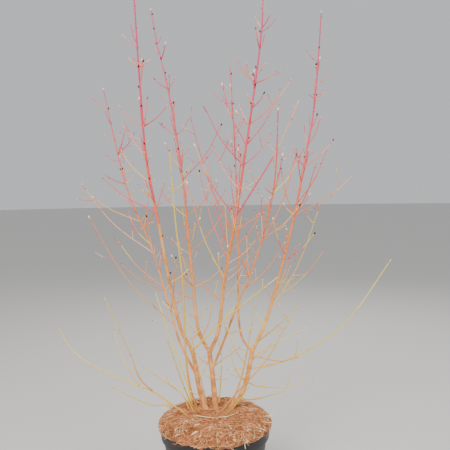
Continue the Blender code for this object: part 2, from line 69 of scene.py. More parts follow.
# %% [markdown]
# ## Sizes
# These are the sizes to note first: the pot, the mulch, and how side shoots leave a leader. They
# are the values of the solid model, so that every limb grows where its solid stands. Courses are
# in centimetres, thicknesses in millimetres.

# %% Driving sizes
CM = 0.01
MM = 0.001
GAP = 0.0003

# Pot
POT_HEIGHT = 0.225
RIM_RADIUS = 0.1425
COLLAR_HEIGHT = 0.032
COLLAR_DRAFT = 0.002
COLLAR_STEP = 0.0065
COLLAR_SLOPE = 0.6
BASE_RADIUS = 0.1075
WALL = 0.003

# Compost and mulch
GROUND = 0.250
PLATEAU_RADIUS = 0.088
MULCH_RADIUS = 0.1455
MULCH_SHOULDER = 0.2285

# Growth
SHOOT_THICK = 3.4
SHOOT_TIP_THICK = 1.7
SHOOT_BOW = 0.13
TWIST = 0.6
GOLDEN_ANGLE = math.radians(137.5)
LEAST_SHOOT = 4.5
CROWN_TOP = 142
CROSSING_START = 5
CROSSING_END = 12
CROSSING_SPACING = 10
CROSSING_LENGTH = (0.13, 0.27)
CROSSING_LEAN = (28, 48)
CROSSING_TURN = (-35, 35)
CROSSING_JITTER = (0.85, 1.15)
STUB = 0.022
FLARE_HEIGHT = 0.012
STEM_FLARE = 1.35
SUCKER_FLARE = 1.3
TAPER_POWER = 1.15
ROOT_LENGTH = 0.015
ROOT_MARGIN = 0.003
LONGEST_ROOT = 0.8
FLATTEST_FORK = 0.2
CLEARANCE = 0.0012
SWINGS = (0, 0.02, -0.02, 0.04, -0.04, 0.06, -0.06)
BEAD_STEP = 0.002
SEED = 7

# How far apart the solid model's rings are, which the beads follow
LEADER_RINGS = 0.07
STEM_RINGS = 0.045
STUB_RINGS = 0.012
BOUGH_RINGS = 0.045
SUCKER_RINGS = 0.06
TWIG_RINGS = 0.05
LOW_SPRAY_RINGS = 0.035
SHOOT_RINGS = 0.035
print("pot rim", 2000 * RIM_RADIUS, "mm across, mulch up to", 1000 * GROUND, "mm")

# %% [markdown]
# ## Stems and leaders
# Three stems stand in the pot. Each forks into leaders, and each leader carries side shoots. A
# shoot is noted as the height of its root, how far its tip lies to the right, and how far above.

# %% Courses of the stems and leaders
# Stems that stand in the pot: course from the ground to the fork, thickness at foot and fork
STEMS = {
    "stem_middle": ([(0.2, 1.9, 25), (-0.4, 2, 33), (-1.2, 2, 40.5)], (14, 12)),
    "stem_left": ([(-2.4, 2, 25), (-4.1, 1.5, 31.2), (-4.9, 1, 36.7)], (13, 11)),
    "stem_right": ([(4, 2.4, 25), (6.9, 2.3, 28.8), (8.6, 2.2, 33.4), (10, 2, 40.5)], (12.5, 11)),
}

# Leaders: the stem that each grows from, the height where its bare bough ends, thickness at both
# ends, course from the fork to the tip, and side shoots
Leader = namedtuple("Leader", "stem split thick course shoots")
LEADERS = {
    "centre": Leader(
        "stem_middle", 52, (10, 3.2),
        [(-1.2, 2, 40.5), (1.3, 1.5, 46.6), (3, 0.4, 59.6), (6.2, -1.1, 76.5), (8.7, -2.5, 92),
         (11.4, -4.2, 109.4), (13, -5.4, 122), (13.8, -6.2, 136)],
        [(54, -11, 14), (54, 7, 11), (60, -9, 25.5), (59, 7, 7), (65, -7, 23.5), (64, 7.5, 6.5),
         (67, -5.5, 25), (67, 9.5, 13), (72, -10.5, 30), (72, 10.5, 9), (76, -10, 18.5), (83, -7, 12),
         (83, 5.5, 3.5), (89, -9.5, 14.5), (89, 7.5, 8.5), (94, -6, 15), (94, 9, 14.5), (99, -3.5, 4),
         (99, 10.5, 11), (103, 3.5, 4.5), (109, -5, 6), (109, 5.5, 3)]),
    "left": Leader(
        "stem_middle", 52.5, (9, 2.8),
        [(-1.2, 2, 40.5), (-4.2, 3, 47.2), (-5.9, 5.8, 64), (-8, 9.4, 87), (-11.3, 12.6, 109),
         (-14.6, 14.6, 124), (-16.4, 16, 134)],
        [(54, -5.5, 3.5), (57, 8, 5), (57, -6, 5), (66, 12, 16.5), (66, -5, 4.5), (71, 3.5, 5),
         (76, -8, 8.5), (76, 8.5, 10), (89, -4.5, 7.5), (86, 11, 15.5), (98, -4, 3.5), (98, 3.5, 5),
         (111, -4, 3)]),
    "mid_right": Leader(
        "stem_middle", 56, (6.5, 2.4),
        [(-0.8, 2, 35.6), (1.8, 0.8, 41.8), (6.3, -3, 54.3), (9.5, -5.7, 62.3), (13.2, -10, 74.6),
         (15.1, -14.2, 86), (15.4, -20, 101)],
        [(58, 10.5, 12), (70, 9.5, 22), (70, -1, 4.5), (71, 9, 8.5), (82, 6.5, 9)]),
    "far_left": Leader(
        "stem_left", 75, (9.5, 2.8),
        [(-4.9, 1, 36.7), (-5.8, 0.1, 41.8), (-8.3, -1, 47.3), (-10.4, -3.1, 58), (-12.9, -6.8, 75.8),
         (-15, -10, 91), (-15.5, -13.8, 107), (-15.7, -18, 125), (-15.9, -19.6, 134)],
        [(78, -13, 8.5), (85, -8, 9), (91, -4.5, 8), (98, -6, 5.5), (98, 6, 5)]),
    "outer_left": Leader(
        "stem_left", 46, (6.5, 2.4),
        [(-4.6, 1.2, 34.4), (-8.9, 2, 43.1), (-11.5, 3.4, 52), (-16.2, 5.7, 67.7), (-22.2, 7.8, 82),
         (-25.7, 9.7, 95), (-29.4, 12, 111.7)],
        [(47.5, -22, 29.5), (46.5, -9, 1), (56.5, -10.5, 8.5), (57.5, -13, 12), (66.5, -18, 18.5),
         (69, -5, 7), (75, -15, 7), (85, -5, 2.5)]),
    "slim_centre": Leader(
        "stem_right", 64, (6, 2.2),
        [(10, 2, 40.5), (7.4, 2.7, 44.3), (6.6, 3.8, 51.5), (6.8, 7, 71), (6.5, 10.2, 91), (5.5, 14, 117)],
        []),
    "far_right": Leader(
        "stem_right", 50, (9.5, 2.8),
        [(10, 2, 40.5), (13.8, 2.9, 48.4), (17.5, 4.2, 60), (21.8, 6, 75.6), (25.7, 8, 93.5),
         (28.2, 9.5, 107.5), (30.5, 12, 131.4)],
        [(51, 13.5, 27.5), (54, 13.5, 10.5), (64, 8, 8), (76, -3, 3.5), (76, 15.5, 10.5), (77, 4, 5),
         (79, 9.5, 15.5), (89, -3.5, 5.5), (89, 8.5, 7.5), (99, 2, 4.5)]),
}

# A strong limb fused to a spray: course, and thickness at both ends
STRONG_LIMBS = {
    "centre": ([(6.2, -1.1, 76.5), (9.9, -5, 82.3), (15.9, -10.5, 92.3), (20.5, -16, 103)], (5, 2.2)),
}
print(len(STEMS), "stems and", len(LEADERS), "leaders")

# %% [markdown]
# ## Shoots too short for the solids
# Close up, the stems and leaders also carry stubs of a few centimetres, noted in the same way.

# %% Short shoots
STEM_SHOOTS = {
    "stem_middle": [(33, -3, 2.5), (33, 4, -0.5), (37, -4, 4), (33.5, 2.5, 3.5)],
    "stem_left": [(33, 3, 5), (36, 2.5, 3.5), (29, -3, 2)],
    "stem_right": [(36, -6, -0.5), (33, -3.5, 1.5)],
}
SHORT_SHOOTS = {
    "left": [(44, -3.5, 4.5), (49, -4.5, 3.5), (49, 3, 3), (92, 3, 3), (92, -2, 3), (105, 1, 2.5),
             (111, 2, 3.5)],
    "centre": [(49, 4, 4), (103, -1, 3.5), (122, -1.5, 3), (122, 2, 3)],
    "mid_right": [(46, -0.5, 3), (46, 7.5, 1), (58, -0.5, 2), (75, -1, 1.5), (82, -2, 1.5)],
    "far_left": [(44, 4, 4), (52, -4, 3), (60, 5, 4), (111, -2.5, 2.5), (111, 3, 2.5)],
    "outer_left": [(75, 1.5, 2), (85, 2, 2.5)],
    "slim_centre": [(91, 1.5, 2), (97, -2.5, 2.5), (97, 1.5, 1)],
    "far_right": [(43, 3.5, 4), (47, -2, 4), (46, 4.5, -1), (54, -2, 3.5), (64, -1, 1.5), (99, -0.5, 4),
                  (107, -1.5, 1.5), (107, 2.5, 2.5)],
}
print(sum(len(row) for row in SHORT_SHOOTS.values()), "short shoots on the leaders")

# %% [markdown]
# ## Suckers and thin twigs
# Thin yellow shoots rise from the root on their own, or start low on a stem.

# %% Courses of the suckers and thin twigs
# Thin twigs: course and thickness
TWIGS = {
    "twig_crossing": (
        [(-5.5, 0.3, 41.4), (-2.5, -1.2, 44.9), (6.6, -4.8, 53.8), (15.7, -12, 62.4)], (4, 2)),
    "twig_fork": ([(-3.2, 2.7, 44.4), (-1.5, 3.6, 47.6), (-0.4, 4.2, 52), (1.3, 5, 59.2)], (3.2, 1.8)),
    "twig_inner_left": ([(8.3, 2.2, 32.3), (6, 3, 34.6), (4.8, 3.4, 38), (4.2, 3.2, 41.5)], (3.2, 1.8)),
    "twig_inner_right": (
        [(9.1, 2.1, 36.1), (6, -0.2, 40.8), (4.3, -1.8, 45), (3.5, -2.8, 49.6)], (3.2, 1.8)),
    "twig_between": ([(-0.8, 2, 36.2), (2.3, 3.2, 38.2), (7.8, 7.6, 40.8)], (3, 1.8)),
    "low_right_long": (
        [(9.1, 2.1, 36.1), (12.9, 2.3, 36.4), (18.8, 3, 37.7), (26.6, 3.8, 41.1), (36.4, 4.8, 48.4),
         (48, 6, 64.2)], (5, 2)),
    "low_right_back": ([(8.4, 2.2, 32.5), (12.1, 4.4, 30.3), (20.8, 9.8, 28.2), (27.9, 14, 29.4)], (4, 2)),
    "low_right_front": ([(6.3, 2.3, 28), (10.4, -2, 29.2), (17.3, -10, 34.2)], (4, 2)),
    "right_drooping": ([(9.7, 2, 39.3), (12.2, 0.3, 39.4), (16.7, -5, 40), (20.5, -14, 43.7)], (3.6, 1.8)),
    "right_spreading": ([(9.3, 2.1, 37.2), (12, 3.5, 39.6), (18.7, 7.6, 42), (26.2, 12, 44.4)], (3.8, 1.8)),
    "right_rising": ([(11.3, 2.2, 43), (14, -1, 46), (18.9, -8, 52.4)], (3.6, 1.8)),
}

# Suckers: course and thickness
SUCKERS = {
    "sucker_tall": (
        [(-4.9, 3.5, 25), (-6.5, 1.3, 31.8), (-7.2, -2.2, 42), (-7, -9.1, 61), (-7.9, -14.6, 75),
         (-8.3, -22, 92)], (6, 2.4)),
    "sucker_back_left": ([(-6.2, 4.7, 25), (-7.5, 7, 30.1), (-12, 12, 40.4), (-17, 17, 54)], (5, 2)),
    "sucker_right": (
        [(1.6, 0.3, 25), (5.6, -2, 30.8), (12.9, -5.3, 40), (17, -8.8, 48.4), (20.6, -12, 56)], (4.6, 2)),
    "low_left_front": (
        [(-6.8, -2.3, 25), (-10.9, -3.6, 28.6), (-16, -6.3, 29.9), (-24, -12, 36.3)], (4, 2)),
    "low_left_back": ([(-6.9, 2.3, 25), (-8.6, 3.6, 28.6), (-13, 7, 30.6), (-20.3, 12, 33.7)], (3.8, 2)),
    "low_left_short": ([(-5.6, 1, 25), (-7.4, 1.4, 28.2), (-10.6, 3.6, 30.6), (-14.2, 6, 32.7)], (3.4, 2)),
    "low_back_left": ([(-2.2, 5.4, 25), (-4.6, 14, 31), (-9, 26, 46)], (4.4, 2)),
    "low_back_right": ([(4.4, 5.6, 25), (8, 14, 32), (13, 27, 52)], (4.6, 2)),
    "low_back": ([(1, 6.2, 25), (1.8, 16, 34), (0.6, 30, 40)], (4, 2)),
    "low_front_left": ([(-3.4, -1.2, 25), (-6, -9, 32), (-9.6, -22, 50)], (4.4, 2)),
    "low_front_right": ([(2.6, -2, 25), (5, -11, 31), (8, -26, 41)], (4.2, 2)),
}

# The low spray on the left: a long sucker with two branches of its own
LOW_SPRAY = [
    ([(-7.6, -0.4, 25), (-11.2, 0.1, 27.4), (-17, 1.1, 31), (-22.3, 2, 32.6), (-33.2, 3.7, 37.4),
      (-38.6, 4.5, 41.8), (-41.8, 5, 47.5)], (5, 2)),
    ([(-16.4, 1, 30.8), (-19.4, -1, 35), (-21.3, -3.1, 42), (-26.4, -8, 57.5)], (3.6, 1.8)),
    ([(-19.8, 1.5, 31.9), (-23.6, 3.6, 37), (-25.8, 6, 41), (-27.7, 9, 45.5)], (3, 1.8)),
]
print(len(SUCKERS), "suckers and", len(TWIGS), "thin twigs")

# %% [markdown]
# ## A smooth course
# A limb could be a Blender curve with a bevel, but its thickness, swellings and relief are easier
# to steer on plain arrays. So a course is a smooth line through a few stations.

# %% Course and limb
class Course:
    """A smooth curve through a limb's points, with a radius that tapers from foot to tip."""

    def __init__(self, stations, thick, flare=1.0):
        self.stations = [Vector(p) * CM for p in stations]
        self.thick = thick
        self.flare = flare
        self.line, self.along = self.dense_line()
        self.length = self.along[-1]

    def dense_line(self):
        """Points about 2 mm apart on a curve through the stations, and how far along each lies."""
        before = 2 * self.stations[0] - self.stations[1]
        after = 2 * self.stations[-1] - self.stations[-2]
        ends = [before, *self.stations, after]
        line = []
        for a, b, c, d in zip(ends, ends[1:], ends[2:], ends[3:]):
            steps = max(2, int((c - b).length / BEAD_STEP))
            for k in range(steps):
                t = k / steps
                point = 2 * b + (c - a) * t + (2 * a - 5 * b + 4 * c - d) * t * t
                line.append((point + (3 * b - a - 3 * c + d) * t ** 3) / 2)
        line.append(self.stations[-1])
        along = [0]
        for a, b in zip(line, line[1:]):
            along.append(along[-1] + (b - a).length)
        return line, along

    def point(self, distance):
        at = min(max(int(np.searchsorted(self.along, distance)), 1), len(self.line) - 1)
        span = self.along[at] - self.along[at - 1]
        share = (distance - self.along[at - 1]) / span
        return self.line[at - 1].lerp(self.line[at], min(max(share, 0), 1))

    def heading(self, distance):
        step = 2 * BEAD_STEP
        ahead = self.point(min(distance + step, self.length))
        return (ahead - self.point(max(distance - step, 0))).normalized()

    def radius(self, distance):
        low, high = self.thick
        share = np.minimum(distance / self.length, 1)
        taper = high + (low - high) * (1 - share) ** TAPER_POWER
        swell = 1 + (self.flare - 1) * np.exp(-distance / FLARE_HEIGHT)
        return taper * swell * MM / 2

    def at_height(self, height):
        """How far along the course it first reaches a height."""
        for distance, point in zip(self.along, self.line):
            if point.z >= height:
                return distance
        return self.length


class Limb:
    """A stretch of a course with the places of its rings, which its beads follow."""

    def __init__(self, course, start=0, end=None, spacing=LEADER_RINGS, on_ground=False):
        self.on_ground = on_ground
        end = course.length if end is None else end
        self.course, self.start, self.end = course, start, end
        steps = max(2, round((end - start) / spacing))
        stops = [start + (end - start) * k / steps for k in range(steps + 1)]
        if on_ground:
            stops.insert(1, start + FLARE_HEIGHT)
        self.centres = [course.point(stop) for stop in stops]
        self.radii = [course.radius(stop) for stop in stops]
        if on_ground:
            self.centres[0].z = GROUND + GAP

    def beads(self):
        """Centres and radii about 2 mm apart along the limb's chords."""
        centres, radii = [], []
        for a, b, low, high in zip(self.centres, self.centres[1:], self.radii, self.radii[1:]):
            count = max(1, math.ceil((b - a).length / BEAD_STEP))
            for k in range(count):
                centres.append(a.lerp(b, k / count))
                radii.append(low + (high - low) * k / count)
        centres.append(self.centres[-1])
        radii.append(self.radii[-1])
        return np.array(centres), np.array(radii)

print("courses are sampled every", 1000 * BEAD_STEP, "mm")

# %% [markdown]
# ## Room to grow
# Twigs in a real crown don't pass through each other. Each limb is remembered as a string of
# beads, and a new one is only kept where its beads are free. It may swing a little first.

# %% Growth rule
class Room:
    """Remembers the space that limbs take, as beads strung along them."""

    def __init__(self):
        self.strings = []

    def take(self, owner, piece):
        centres, radii = piece.beads()
        self.strings.append((owner, centres, radii, centres.min(0), centres.max(0)))

    def is_free(self, owner, piece, root_length):
        """True where the limb keeps clear of every other, but for its own leader near its root."""
        centres, radii = piece.beads()
        beyond_root = int(root_length / BEAD_STEP)
        for other, taken, thick, low, high in self.strings:
            skip = beyond_root if other == owner else 0
            points, own = centres[skip:], radii[skip:]
            margin = thick.max() + own.max() + CLEARANCE
            if (points.min(0) > high + margin).any() or (points.max(0) < low - margin).any():
                continue
            apart = np.linalg.norm(points[:, None] - taken[None], axis=2)
            if (apart < own[:, None] + thick[None] + CLEARANCE).any():
                return False
        return True


room = Room()


def shoot_limb(root, reach):
    """A side shoot: it leaves its leader widely and bends upwards to its tip."""
    flat = Vector((reach.x, reach.y, 0))
    middle = root + flat * (0.5 + SHOOT_BOW / 2) + Vector((0, 0, reach.z * (0.5 - SHOOT_BOW / 2)))
    course = Course([p / CM for p in (root, middle, root + reach)], (SHOOT_THICK, SHOOT_TIP_THICK))
    return Limb(course, spacing=max(SHOOT_RINGS, course.length / 3))


def settle_shoot(spray, leader, height, reach):
    """The shoot in a list, swung a little to where it is free, or an empty list."""
    foot = leader.at_height(height)
    root = leader.point(foot)
    aside = Vector((-reach.y, reach.x, 0)).normalized()
    angle = max(reach.angle(leader.heading(foot)), FLATTEST_FORK)
    inside = leader.radius(foot) + SHOOT_THICK * MM / 2 + ROOT_MARGIN
    root_length = min(max(ROOT_LENGTH, inside / math.sin(angle)), reach.length * LONGEST_ROOT)
    for swing in SWINGS:
        shoot = shoot_limb(root, reach + aside * swing)
        if room.is_free(spray, shoot, root_length):
            room.take(spray, shoot)
            return [shoot]
    return []


def listed_shoots(name, leader, shoots):
    """The shoots seen from the front, each turned about its leader by the golden angle's sine."""
    found = []
    for number, (height, run, rise) in enumerate(shoots):
        depth = TWIST * abs(run) * math.sin(GOLDEN_ANGLE * number)
        found += settle_shoot(name, leader, height * CM, Vector((run, depth, rise)) * CM)
    return found


def crossing_shoots(name, leader, split, draw):
    """Pairs that point to the front and the back, by rule: long low down and short near the tip."""
    found = []
    height = split + CROSSING_START * CM
    while height < leader.stations[-1].z - CROSSING_END * CM:
        for side in (-1, 1):
            length = (CROWN_TOP * CM - height) * draw.uniform(*CROSSING_LENGTH)
            lean = math.radians(draw.uniform(*CROSSING_LEAN))
            turn = math.radians(draw.uniform(*CROSSING_TURN))
            if length < LEAST_SHOOT * CM:
                continue
            out = length * math.sin(lean)
            reach = Vector((out * math.sin(turn), side * out * math.cos(turn), length * math.cos(lean)))
            found += settle_shoot(name, leader, height, reach)
        height += CROSSING_SPACING * CM * draw.uniform(*CROSSING_JITTER)
    return found

print("a shoot keeps", 1000 * CLEARANCE, "mm clear of the others")

# %% [markdown]
# ## Growing the plant
# The order of growth is the order of the solid model, because each limb takes room from the
# next. The result is a list of limbs, each with the kind of wood it is and its node.

# %% Grow every limb
# Short shoots on stems and boughs belong to no mass of twigs, so they go under this name
STUB_NODE = "bare_wood"
limbs = []
leaders = {}


def keep(kind, node, limb):
    """Notes a limb, and takes its room."""
    room.take(node, limb)
    limbs.append((kind, node, limb))


def keep_shoots(kind, node, found):
    """Notes shoots that have taken their room already."""
    limbs.extend((kind, node, shoot) for shoot in found)


for stem, plan in STEMS.items():
    keep("stem", stem, Limb(Course(*plan, STEM_FLARE), spacing=STEM_RINGS, on_ground=True))
    for name, leader in LEADERS.items():
        if leader.stem == stem:
            leaders[name] = Course(leader.course, leader.thick)
            room.take(stem, Limb(leaders[name], 0, STUB, spacing=STUB_RINGS))

for name, leader in leaders.items():
    split = leader.at_height(LEADERS[name].split * CM)
    keep("bough", "bough_" + name, Limb(leader, STUB + GAP, split, spacing=BOUGH_RINGS))
    keep("leader", "spray_" + name, Limb(leader, split + GAP))

for name, plan in SUCKERS.items():
    keep("low", name, Limb(Course(*plan, SUCKER_FLARE), spacing=SUCKER_RINGS, on_ground=True))

for number, plan in enumerate(LOW_SPRAY):
    course = Course(*plan, SUCKER_FLARE)
    keep("low", "spray_low_left", Limb(course, spacing=LOW_SPRAY_RINGS, on_ground=number == 0))

for name, plan in TWIGS.items():
    keep("low", name, Limb(Course(*plan), STUB / 2, spacing=TWIG_RINGS))

draw = random.Random(SEED)
shoots = {}
for name, plan in STRONG_LIMBS.items():
    keep("shoot", "spray_" + name, Limb(Course(*plan)))
for name, leader in leaders.items():
    shoots[name] = listed_shoots("spray_" + name, leader, LEADERS[name].shoots)
for name, leader in leaders.items():
    shoots[name] += crossing_shoots("spray_" + name, leader, LEADERS[name].split * CM, draw)
    keep_shoots("shoot", "spray_" + name, shoots[name])
for stem, rows in STEM_SHOOTS.items():
    keep_shoots("stub", STUB_NODE, listed_shoots(stem, Course(*STEMS[stem]), rows))
for name, rows in SHORT_SHOOTS.items():
    split = LEADERS[name].split
    bare = [row for row in rows if row[0] < split]
    leafy = [row for row in rows if row[0] >= split]
    keep_shoots("stub", STUB_NODE, listed_shoots("bough_" + name, leaders[name], bare))
    keep_shoots("spur", "spray_" + name, listed_shoots("spray_" + name, leaders[name], leafy))
print(len(limbs), "limbs before the finest twigs")

# %% [markdown]
# ## Skins
# A skin gathers rings of points into one mesh, so that thousands of twigs cost one object. Each
# stretch between two rings takes a material slot of its own, which deals out the colours.

# %% Skin of rings
class Skin:
    """Closed tubes and turned solids that end up in one mesh."""

    def __init__(self):
        self.points, self.faces, self.slots, self.count = [], [], [], 0

    def add_rings(self, rings, slots=0):
        """Skins a row of rings, closed at both ends. slots is one number, or one for each stretch."""
        length, sides = rings.shape[:2]
        index = self.count + np.arange(length * sides).reshape(length, sides)
        after = np.roll(index, -1, axis=1)
        quads = np.stack([index[:-1], after[:-1], after[1:], index[1:]], -1).reshape(-1, 4)
        foot = self.count + length * sides
        feet = [[foot, b, a] for a, b in zip(index[0].tolist(), after[0].tolist())]
        tips = [[foot + 1, a, b] for a, b in zip(index[-1].tolist(), after[-1].tolist())]
        self.points += [rings.reshape(-1, 3), rings[0].mean(0)[None], rings[-1].mean(0)[None]]
        self.count += length * sides + 2
        self.faces += quads.tolist() + feet + tips
        slots = np.broadcast_to(slots, length - 1)
        self.slots += np.repeat(slots, sides).tolist() + [slots[0]] * sides + [slots[-1]] * sides

    def make(self, name, materials, slot, *nodes):
        """Makes the mesh, and lets it stand for the CAD nodes."""
        mesh = bpy.data.meshes.new(name)
        mesh.from_pydata(np.concatenate(self.points).tolist(), [], self.faces)
        for material in materials:
            mesh.materials.append(material)
        mesh.polygons.foreach_set("material_index", np.array(self.slots, dtype=np.int32))
        mesh.shade_smooth()
        piece = bpy.data.objects.new(name, mesh)
        bpy.context.scene.collection.objects.link(piece)
        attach(piece, "root")
        if nodes:
            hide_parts(*nodes)
        print(name, "has", sum(len(face) - 2 for face in self.faces), "triangles")


def across_axes(points):
    """Heading of a line at each point, and two axes across it that don't twist."""
    heading = np.gradient(points, axis=0)
    heading /= np.linalg.norm(heading, axis=1)[:, None]
    reference = np.eye(3)[np.argmin(abs(heading.mean(0)))]
    across = reference - heading * (heading @ reference)[:, None]
    across /= np.linalg.norm(across, axis=1)[:, None]
    return heading, across, np.cross(heading, across)


def add_tube(skin, points, radii, sides, slots=0, flatness=1.0):
    """A tube along points. radii is one for each ring, or one for each point of each ring."""
    heading, across, other = across_axes(points)
    turns = 2 * np.pi * np.arange(sides) / sides
    radii = radii[:, :, None] if radii.ndim == 2 else radii[:, None, None]
    spokes = flatness * np.cos(turns)[None, :, None] * across[:, None]
    spokes = spokes + np.sin(turns)[None, :, None] * other[:, None]
    skin.add_rings(points[:, None] + radii * spokes, slots)


def stretch_of(limb, spacing, start, end):
    """Distances and points along a limb's course, close enough together to look smooth."""
    stops = np.linspace(start, end, max(4, int((end - start) / spacing) + 1))
    line = np.array(limb.course.line)
    points = np.column_stack([np.interp(stops, limb.course.along, line[:, k]) for k in range(3)])
    return stops, points


print("skins ready")

# %% [markdown]
# ## Colours and nodes
# Colours are noted as sRGB hex values and turned to linear light by one function. A second one adds
# a node with its settings and links. A third makes a material, with a grain in relief and a colour
# that drifts over a noise where the real surface has them. Their widths are in millimetres.

# %% Colour and node helpers
def linear(code):
    """A hex colour as linear red, green, blue and alpha."""
    shades = [int(code[k:k + 2], 16) / 255 for k in (1, 3, 5)]
    light = [s / 12.92 if s <= 0.04045 else ((s + 0.055) / 1.055) ** 2.4 for s in shades]
    return (*light, 1)


def add_node(tree, kind, inputs):
    """Adds a node. Each input is set to a value, or linked to another node's socket."""
    node = tree.nodes.new(kind)
    for key, value in inputs.items():
        if isinstance(value, bpy.types.NodeSocket):
            tree.links.new(value, node.inputs[key])
        else:
            node.inputs[key].default_value = value
    return node


NOISE_DETAIL = 3.0
PLAIN_DRIFT = {"detail": NOISE_DETAIL, "low": 0.35, "high": 0.65}


def new_material(name, colour, roughness, ior, grain=0, depth=0, drift=None):
    """A material of one colour, or of drifting colours. Its grain is raised by up to depth."""
    material = bpy.data.materials.new(name)
    material.use_nodes = True
    tree = material.node_tree
    shader = tree.nodes["Principled BSDF"].inputs
    shader["Base Color"].default_value = linear(colour)
    shader["Roughness"].default_value = roughness
    shader["IOR"].default_value = ior
    place = add_node(tree, "ShaderNodeTexCoord", {}).outputs["Object"]
    if drift:
        drift = {**PLAIN_DRIFT, **drift}
        codes, low, high = drift["codes"], drift["low"], drift["high"]
        noise = {"Vector": place, "Scale": 1 / (drift["grain"] * MM), "Detail": drift["detail"]}
        value = add_node(tree, "ShaderNodeTexNoise", noise).outputs[0]
        ramp = add_node(tree, "ShaderNodeValToRGB", {"Fac": value})
        elements = ramp.color_ramp.elements
        while len(elements) < len(codes):
            elements.new(0.5)
        for number, code in enumerate(codes):
            elements[number].position = low + (high - low) * number / (len(codes) - 1)
            elements[number].color = linear(code)
        tree.links.new(ramp.outputs["Color"], shader["Base Color"])
    if grain:
        noise = {"Vector": place, "Scale": 1 / (grain * MM), "Detail": NOISE_DETAIL}
        height = add_node(tree, "ShaderNodeTexNoise", noise).outputs[0]
        relief = {"Height": height, "Distance": depth * MM, "Strength": 1.0}
        bump = add_node(tree, "ShaderNodeBump", relief)
        tree.links.new(bump.outputs["Normal"], shader["Normal"])
    return material


print("linear mid grey:", round(linear("#808080")[0], 3))

# %% [markdown]
# ## Bark of the stems and boughs
# Dogwood bark is a thin living cork over green wood. It is smooth and a little waxy, so light
# slides along it, and fine cracks and lenticels break the shine. Its colour drifts from peach to
# tan within a few centimetres, and one bough on the right is more golden. Cork has an IOR near
# 1.5, and a rub makes it about half rough.

# %% Stem and bough bark
BARK_IOR = 1.48
BARK_DRIFT = 22.0
BARK_GRAIN = 1.6
BARK_BUMP = 0.25
STEM_ROUGHNESS = 0.5
BOUGH_ROUGHNESS = 0.46
GOLDEN_BOUGH = "bough_far_right"


def make_bark(name, codes, roughness):
    """Living cork: drifting colour, and a fine grain that is drawn a little coarse to show."""
    drift = {"codes": codes, "grain": BARK_DRIFT}
    return new_material(name, codes[1], roughness, BARK_IOR, BARK_GRAIN, BARK_BUMP, drift)


stem_cork = make_bark("dogwood_stem_cork", ["#bd7a40", "#d5924f", "#e4ab69"], STEM_ROUGHNESS)
bough_cork = make_bark("dogwood_bough_cork", ["#c27838", "#d88e46", "#e5a65e"], BOUGH_ROUGHNESS)
golden_cork = make_bark("dogwood_golden_cork", ["#cf963a", "#dfac48", "#eac064"], BOUGH_ROUGHNESS)
print("barks of the stems and boughs made")

# %% [markdown]
# ## Bark of the twigs
# Young bark is coloured by the sun: straw yellow in the shade low down, orange half way up, and
# crimson at the top. The colour has a place, so it is dealt out as plain base colours, one slot
# for each step of height. Side shoots have tones of their own, here called whips, and differ from
# shoot to shoot, but the palest whip tone, a pinkish salmon, is a painted highlight: it stands for
# the light that falls bright on lit shoots. The skin of a first-year twig is glossier than old cork.

# %% Twig bark by height
HEIGHT_TONES = ["#dba066", "#dc9a5a", "#de934c", "#df8a42", "#df7e3a", "#dd6c3a",
                "#da5640", "#d84a4c", "#d34054", "#ce385a", "#c9345e", "#c53262"]
YELLOW_TONES = ["#ecdc80", "#e5d04a", "#dec43a", "#e1b044", "#df9c48"]
# Whip tones: the first, a pale pinkish salmon, is a painted highlight for brightly lit shoots; the rest are
# the shoots' own colours
WHIP_TONES_AND_HIGHLIGHT = ["#eca48e", "#e47562", "#da4a68", "#e6b058", "#dfc642", "#e4884a"]
LOW_WHIPS = (3, 4, 5, 0, 3)
MIDDLE_WHIPS = (0, 1, 2, 3, 4, 5)
HIGH_WHIPS = (0, 1, 2, 1, 2)
LOW_WHIP_HEIGHT = 0.62
HIGH_WHIP_HEIGHT = 0.88
TONE_LOW = 0.45
TONE_HIGH = 1.18
TWIG_GRAIN = 2.5
TWIG_BUMP = 0.12
TWIG_ROUGHNESS = 0.42
twig_barks = []
# young_bark_17, the first whip tone, is a painted highlight rather than a colour of the bark
for number, code in enumerate(HEIGHT_TONES + YELLOW_TONES + WHIP_TONES_AND_HIGHLIGHT):
    name = "young_bark_%02d" % number
    twig_barks.append(new_material(name, code, TWIG_ROUGHNESS, BARK_IOR, TWIG_GRAIN, TWIG_BUMP))


def tone_at(height, shift=0.0):
    """The slot of young bark at a height. shift moves it up the row of tones."""
    share = (height - TONE_LOW) / (TONE_HIGH - TONE_LOW)
    number = np.round(share * (len(HEIGHT_TONES) - 1) + shift)
    return np.clip(number, 0, len(HEIGHT_TONES) - 1).astype(int)


print(len(twig_barks), "tones of young bark")

# %% [markdown]
# ## Stems and boughs with relief
# A stem is not a clean pipe. It swells where leaves stood in pairs, waves a little, and carries
# lenticels, small corky dots through which it breathes. These are real relief here, so that they
# stay in the mesh. Where a leader leaves its stem a collar of wood closes round it.

# %% Stem and bough meshes
BARK_SIDES = 24
BARK_RING = 0.0014
FULL_TURN = 6.28
WAVES = 6
WAVES_AROUND = (1, 4)
WAVES_ALONG = (40, 330)
WAVE_HEIGHT = 0.014
LENTICEL_HEIGHT = 0.07
LENTICEL_LENGTH = 0.0011
LENTICELS_PER_METRE = 420
STEM_NODE_SPACING = 0.052
STEM_SWELL = 0.12
NODE_WIDTH = 0.0028
COLLAR_SWELL = 0.22
COLLAR_LENGTH = 0.009
FOOT_DEPTH = 0.008


def swell(stops, nodes, share, width=NODE_WIDTH):
    """How much a limb thickens at its nodes."""
    total = np.ones(len(stops))
    for node in nodes:
        total += share * np.exp(-((stops - node) / width) ** 2)
    return total


